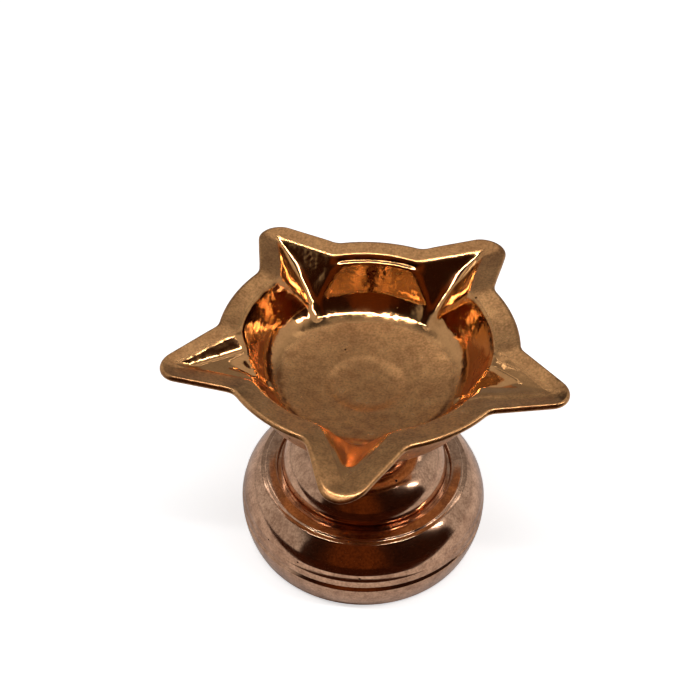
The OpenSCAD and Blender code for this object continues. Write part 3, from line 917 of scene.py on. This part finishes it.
# Finish: where the bright wall starts, and over which widths it fades in there and at the rim
BRIGHT_FROM = 16.6
BRIGHT_FADE = 1.6
RIM_FADE = 0.8
# Darkening painted into the colour: painted shade in a line under the rim's edge between the spouts and in a
# line round the floor on the front side, and a few dark spots, each with its radius, angle, size and strength
EDGE_PAINTED_SHADE = 0.8
EDGE_PAINTED_SHADE_BELOW = 0.45
EDGE_PAINTED_SHADE_W = 0.25
EDGE_PAINTED_SHADE_OFF = math.radians(15)
EDGE_PAINTED_SHADE_FADE = 0.05
FLOOR_PAINTED_SHADE = 0.6
FLOOR_PAINTED_SHADE_R = 16.4
FLOOR_PAINTED_SHADE_W = 0.5
FLOOR_PAINTED_SHADE_BACK = 0.6
DARK_SPOTS = ((26.3, -143, 1.7, 0.5), (22.4, -152, 0.55, 1.0), (36.8, -18, 1.8, 0.8), (35.0, -13, 1.3, 0.6))

low, high = span("lamp_bowl")
boss_z, rim_z = low[2], high[2]
floor_z = rim_z - FLOOR_DEPTH
rim_in = np.array([RIM_R - RIM_FACE_W, rim_z - RIM_DIP])
rim_rise = RIM_DIP / (RIM_FACE_W - RIM_LAND)
corner_mid = np.array([rim_in[0] - CORNER_IN, rim_z - CORNER_DEPTH])
corner_h = corner_mid[1] - floor_z
dish_r = (corner_h ** 2 + corner_mid[0] ** 2 - CORNER_ROUND ** 2) / (2 * (corner_h - CORNER_ROUND))
dish_mid_z = floor_z + dish_r

# Columns bunch up towards each spout's own line: phi is the angle from that line, theta from the x axis
spouts = len(SPOUT_REACH)
step = np.linspace(-1, 1, 2 * COLUMNS_HALF, endpoint=False)
spread = np.pi / spouts * np.sign(step) * np.abs(step) ** COLUMN_BUNCHING
spout = np.repeat(np.arange(spouts), 2 * COLUMNS_HALF)[:, None]
phi = np.tile(spread, spouts)[:, None]
theta = phi + spout * 2 * np.pi / spouts - np.pi / 2
off = np.abs(phi)
reach, tip_r = SPOUT_REACH[spout], TIP_R[spout]

# The top of the wall on each column, and the turn at which the wall leaves the round of the floor
at_back = np.clip((np.sin(theta) - LEDGE_FROM) / LEDGE_FADE, 0, 1)
edge_w = PLAIN_EDGE_W + (LEDGE_W - PLAIN_EDGE_W) * at_back
edge_h = PLAIN_EDGE_H + (LEDGE_H - PLAIN_EDGE_H) * at_back
wall_top = (rim_in[0] - edge_w, rim_in[1] - edge_h)
to_wall = (wall_top[0] - corner_mid[0], wall_top[1] - corner_mid[1])
wall_turn = np.arctan2(to_wall[1], to_wall[0]) - np.arccos(CORNER_ROUND / np.hypot(*to_wall))

# Outline of the star, seen from above: tip circle, straight side, hollow, and the round rim
root = np.array([math.sqrt(RIM_R ** 2 - (SPOUT_ROOT_W / 2) ** 2), SPOUT_ROOT_W / 2])
tip_x = reach - tip_r
side_turn = np.arctan2(root[1], root[0] - tip_x) - np.arccos(tip_r / np.hypot(root[0] - tip_x, root[1]))
side_d = root[0] * np.cos(side_turn) + root[1] * np.sin(side_turn)
valley_d = RIM_R + VALLEY_R
valley_along = np.sqrt(valley_d ** 2 - (side_d + VALLEY_R) ** 2)
valley_x = (side_d + VALLEY_R) * np.cos(side_turn) + valley_along * np.sin(side_turn)
valley_y = (side_d + VALLEY_R) * np.sin(side_turn) - valley_along * np.cos(side_turn)
valley_off = np.arctan2(valley_y, valley_x)
tip_off = np.arctan2(tip_r * np.sin(side_turn), tip_x + tip_r * np.cos(side_turn))
side_off = np.arctan2(valley_y - VALLEY_R * np.sin(side_turn), valley_x - VALLEY_R * np.cos(side_turn))
on_tip = tip_x * np.cos(off) + np.sqrt(np.maximum(tip_r ** 2 - (tip_x * np.sin(off)) ** 2, 0))
on_side = side_d / np.cos(off - side_turn)
across = valley_d * np.sin(off - valley_off)
on_valley = valley_d * np.cos(off - valley_off) - np.sqrt(np.maximum(VALLEY_R ** 2 - across ** 2, 0))
outline = np.select([off < tip_off, off < side_off, off < valley_off], [on_tip, on_side, on_valley], RIM_R)


def bowl_height(r, thick):
    """Height of the bowl's inside, or of its outside when thick, at a radius: a shallow ball-shaped
    dish, then a round that touches it, then a straight wall that touches the round."""
    ball, bend = dish_r + thick, CORNER_ROUND + thick
    dish_end = ball * corner_mid[0] / (dish_r - CORNER_ROUND)
    wall_r, wall_z = corner_mid[0] + bend * np.cos(wall_turn), corner_mid[1] + bend * np.sin(wall_turn)
    dish = dish_mid_z - np.sqrt(np.maximum(ball ** 2 - r ** 2, 1e-6))
    turn = corner_mid[1] - np.sqrt(np.maximum(bend ** 2 - (r - corner_mid[0]) ** 2, 1e-6))
    wall = wall_z - (r - wall_r) / np.tan(wall_turn)
    return np.where(r < dish_end, dish, np.where(r < wall_r, turn, wall))


def groove_height(x, y, point, slope, flare, thick):
    """Height of a straight groove, or of the hull round it when thick: a floor that rises along x with
    a slope through a point, and two sides that lean outwards from that floor."""
    line = point[1] + (x - point[0]) * np.tan(slope) - thick / np.cos(slope)
    half = CHANNEL_FLOOR_W / 2 + thick * np.tan((np.pi / 2 - flare) / 2)
    side = line + (np.abs(y) - half) / np.tan(flare) / np.cos(slope)
    return smooth_max(line, side, CHANNEL_ROUND)


def inset(r):
    """Distance from a point to the star's outline, inwards: from the round rim, or from the nearer
    side and the round tip of a spout, whichever is further in."""
    x, y = r * np.cos(off), r * np.sin(off)
    side = side_d - x * np.cos(side_turn) - y * np.sin(side_turn)
    tip = tip_r - np.hypot(x - tip_x, y)
    past = np.arctan2(y, x - tip_x) < side_turn
    return smooth_max(RIM_R - r, np.where(past, tip, side), SPOUT_ROOT_BLEND)


def rim_height(r):
    """Height of the rim's face: it falls inwards from a narrow flat along the outline, and on a spout
    it is level again from its limit inwards."""
    limit = FACE_LIMIT[spout] + FACE_LIMIT_GROWTH * np.maximum(off - FACE_LIMIT_FROM, 0)
    return rim_z - rim_rise * np.maximum(np.minimum(inset(r), limit) - RIM_LAND, 0)


def channel_height(r, thick):
    """Height of a wick channel, or of the hull round it when thick: a recess that tapers to a point on
    the rim, with flanks below the rim's face and a rising floor, and from the bend in that floor a steep
    groove that touches the round of the bowl's floor. The core that cast it was off the axis."""
    away = theta - phi
    x = r * np.cos(phi) - CAVITY_OFF[0] * np.cos(away) - CAVITY_OFF[1] * np.sin(away)
    y = r * np.sin(phi) + CAVITY_OFF[0] * np.sin(away) - CAVITY_OFF[1] * np.cos(away)
    bend = (BEND_R[spout], rim_z - BEND_DEPTH[spout])
    across, up = bend[0] - corner_mid[0], bend[1] - corner_mid[1]
    touch = CORNER_ROUND - CHANNEL_SILL
    slope = np.pi / 2 + np.arctan2(up, across) - np.arccos(touch / np.hypot(across, up))
    start = corner_mid[0] + touch * np.sin(slope)
    closed = CHANNEL_CLOSE * np.maximum(start - x, 0)
    groove = groove_height(x, y, bend, slope, FLARE_IN[spout], thick) + closed
    into = (CHANNEL_END[spout] - x) * math.sin(CHANNEL_TAPER) - np.abs(y) * math.cos(CHANNEL_TAPER)
    flank = rim_height(r) - (into + thick) * np.tan(FLANK[spout])
    floor = bend[1] + (x - bend[0]) * np.tan(FLOOR_RISE[spout]) - thick
    recess = smooth_max(flank, floor, CHANNEL_ROUND) + closed
    return smooth_min(recess, groove, BEND_ROUND[spout])


def cavity_radius(r):
    """Distance of a point at a radius on each column from the middle line of the bowl's inside."""
    return np.hypot(r * np.cos(theta) - CAVITY_OFF[0], r * np.sin(theta) - CAVITY_OFF[1])


def inside_height(r):
    """Height of the open inside: the bowl's, with a shallow round recess in its floor and a step and a
    ledge at its top, or a channel's where that is lower."""
    cavity = cavity_radius(r)
    recess = RECESS_DEPTH * np.clip(RECESS_FULL - (cavity / RECESS_R) ** RECESS_SHARPNESS, 0, 1)
    step = rim_in[1] + np.maximum(cavity - rim_in[0], -EDGE_REACH) * math.tan(STEP_SLOPE)
    ledge = wall_top[1] + np.maximum(cavity - wall_top[0], -EDGE_REACH) * math.tan(LEDGE_SLOPE)
    edge = smooth_max(step, ledge, RIM_EDGE_ROUND)
    bowl = smooth_min(bowl_height(cavity, 0) - recess, edge, RIM_EDGE_ROUND)
    return smooth_min(bowl, channel_height(r, 0), MOUTH_ROUND)


def top_height(r):
    """Height of the casting's upper face: the rim's face or the open inside, whichever is lower."""
    return smooth_min(rim_height(r), inside_height(r), EDGE_ROUND[spout])


def under_height(r):
    """Height of the casting's lower face: the lip, the bowl's outside or a spout's hull, whichever is
    lowest."""
    hull = smooth_min(bowl_height(r, WALL_T), channel_height(r, SPOUT_WALL), HULL_BLEND)
    return smooth_min(rim_z - LIP_H, hull, LIP_BLEND)


def along(height, start, end, count, fine=500):
    """Radii from start to end of each column, at equal steps along the surface: its length is summed
    over fine steps, and the wanted lengths are looked up in that sum."""
    share = np.linspace(0, 1, fine)[None, :]
    r = start + (end - start) * share
    z = height(r)
    length = np.cumsum(np.hypot(np.diff(r, axis=1), np.diff(z, axis=1)), 1)
    length = np.concatenate([np.zeros((len(length), 1)), length], 1)
    wanted = np.linspace(0, 1, count)[None, :] * length[:, -1:]
    place = (length[:, None, :] < wanted[:, :, None]).sum(2).clip(1, fine - 1)
    before, after = np.take_along_axis(length, place - 1, 1), np.take_along_axis(length, place, 1)
    mix = (wanted - before) / np.maximum(after - before, 1e-9)
    return np.take_along_axis(r, place - 1, 1) * (1 - mix) + np.take_along_axis(r, place, 1) * mix


def paint(piece, name, values):
    """Writes a value for each column and row of a skin to a vertex attribute, and nothing for the middles
    of its two ends."""
    flat = np.concatenate([values.T.ravel(), [0.0, 0.0]])
    piece.data.attributes.new(name, "FLOAT", "POINT").data.foreach_set("value", flat.astype(np.float32))


# The rim's inner edge on each column: the outermost place where the inside is below the rim's face
seek = corner_mid[0] + (outline - corner_mid[0]) * np.linspace(0, 1, SEEK_STEPS)[None, :]
under_rim = inside_height(seek) < rim_height(seek)
outermost = SEEK_STEPS - 1 - under_rim[:, ::-1].argmax(1)
inner_edge = np.take_along_axis(seek, outermost[:, None], 1)

# Rows from the middle of the floor outwards over the rim, round the lip and back below to the stud's hole
upper = np.concatenate([
    np.linspace(FLOOR_START, FLOOR_END, FLOOR_ROWS)[None, :-1] + 0 * phi,
    along(inside_height, FLOOR_END + 0 * phi, inner_edge - EDGE_BAND, WALL_ROWS)[:, :-1],
    inner_edge + EDGE_BAND * np.linspace(-1, 1, EDGE_ROWS)[None, :],
], 1)
filed = (spout == 0) * np.clip(1 - phi / FILED_RIGHT, 0, 1) * np.clip(2 - off / FILED_LEFT, 0, 1)
face_start = upper[:, -1:]
face_end = outline - LIP_ROUND_TOP - (FILED_OUT[-1] - LIP_ROUND_TOP) * filed
face_r = face_start + (face_end - face_start) * np.linspace(0, 1, FACE_ROWS)[None, :]
upper = np.concatenate([upper[:, :-1], face_r], 1)
upper_z = top_height(upper)
quarter = np.radians(np.linspace(90, 0, ROUND_ROWS))[None, :]
lip_low = rim_z - LIP_H - FILED_LOWER * filed
edge_r = face_end + LIP_ROUND_TOP * np.cos(quarter)[:, 1:] * (1 - filed) + FILED_OUT * filed
edge_z = upper_z[:, -1:] - LIP_ROUND_TOP * (1 - np.sin(quarter))[:, 1:] * (1 - filed) - FILED_DOWN * filed
lip_start, lip_end = edge_z[:, -1:], lip_low + LIP_ROUND_LOW
lip_z = lip_start + (lip_end - lip_start) * np.linspace(0, 1, LIP_ROWS)[None, 1:-1]
lip_r = outline + 0 * lip_z
low_r = outline - LIP_ROUND_LOW + LIP_ROUND_LOW * np.cos(quarter)[:, ::-1]
low_z = lip_end - LIP_ROUND_LOW * np.sin(quarter)[:, ::-1] + 0 * phi
lower = along(under_height, outline - LIP_ROUND_LOW - UNDER_GAP, UNDER_END + 0 * phi, UNDER_ROWS)
cove_z = boss_z + BOSS_BAND_H
cove_r = floor_z - WALL_T - cove_z + COVE_RISE
hole_end = floor_z - STUD_COVER
boss_section = np.concatenate([
    arc((BOSS_NECK_R + cove_r, cove_z), cove_r, COVE_FROM, COVE_TO, count=10),
    rounded([
        (BOSS_NECK_R, cove_z, BOSS_NECK_ROUND),
        (BOSS_R, cove_z, BOSS_ROUND),
        (BOSS_R, boss_z, BOSS_ROUND),
        (STUD_HOLE_R, boss_z, STUD_HOLE_ROUND),
        (STUD_HOLE_R, hole_end, STUD_HOLE_END_ROUND),
        (AXIS_GAP, hole_end, 0.0),
    ], steps=3),
])
boss_r, boss_h = (boss_section[None, :, i] + 0 * phi for i in (0, 1))
all_r = np.concatenate([upper, edge_r, lip_r, low_r, lower, boss_r], 1)
all_z = np.concatenate([upper_z, edge_z, lip_z, low_z, under_height(lower), boss_h], 1)

# Each spout as it came out of the mould: turned a little, drooping and thinner at the tip
far = np.clip((all_r - BENT_FROM) / (reach - BENT_FROM), 0, BENT_MOST)
near = np.clip(1 - (off - BENT_FULL) / BENT_FADE, 0, 1)
near = near ** 2 * (3 - 2 * near)
above = np.maximum(all_z - lip_low, 0) * (all_r > THIN_FROM)
all_z = all_z - (TIP_DROP[spout] + TIP_THIN[spout] * above) * far ** 2 * near
all_t = theta + np.radians(SPOUT_TURN[spout]) * far * near
all_x, all_y = all_r * np.cos(all_t), all_r * np.sin(all_t)
bowl = skin("bowl_casting", np.stack([all_x, all_y, all_z], -1).transpose(1, 0, 2))

# The buff reached the walls and channels, and left the floor, the rim and the outside satin
top_rows = upper.shape[1]
in_cavity = np.clip(0.5 + (rim_height(upper) - inside_height(upper)) / RIM_FADE, 0, 1)
polish = np.zeros_like(all_r)
polish[:, :top_rows] = in_cavity * np.clip((upper - BRIGHT_FROM) / BRIGHT_FADE, 0, 1)
paint(bowl, "polish", polish)

# Painted shade: a dark line under the rim's edge and another round the front of the floor, then a few dark
# spots
below_edge = EDGE_PAINTED_SHADE * np.exp(-((upper - inner_edge + EDGE_PAINTED_SHADE_BELOW) / EDGE_PAINTED_SHADE_W) ** 2)
round_floor = FLOOR_PAINTED_SHADE * np.exp(-((cavity_radius(upper) - FLOOR_PAINTED_SHADE_R) / FLOOR_PAINTED_SHADE_W) ** 2)
painted_shade_and_spots = np.zeros_like(all_r)
painted_shade_and_spots[:, :top_rows] = below_edge * np.clip((off - EDGE_PAINTED_SHADE_OFF) / EDGE_PAINTED_SHADE_FADE, 0, 1)
painted_shade_and_spots[:, :top_rows] += round_floor * np.clip(FLOOR_PAINTED_SHADE_BACK - np.sin(theta), 0, 1)
for r, angle, size, strength in DARK_SPOTS:
    x, y = r * math.cos(math.radians(angle)), r * math.sin(math.radians(angle))
    spot = strength * np.exp(-(np.hypot(all_x - x, all_y - y) / size) ** 2)
    painted_shade_and_spots[:, :top_rows] += spot[:, :top_rows]
paint(bowl, "painted_shade_and_spots", painted_shade_and_spots)
bowl.data.materials.append(cast_copper("bowl_buffed_copper", COPPER_WARM, SATIN_ROUGHNESS, BRIGHT_ROUGHNESS))
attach(bowl, "bowl")
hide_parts("lamp_bowl")
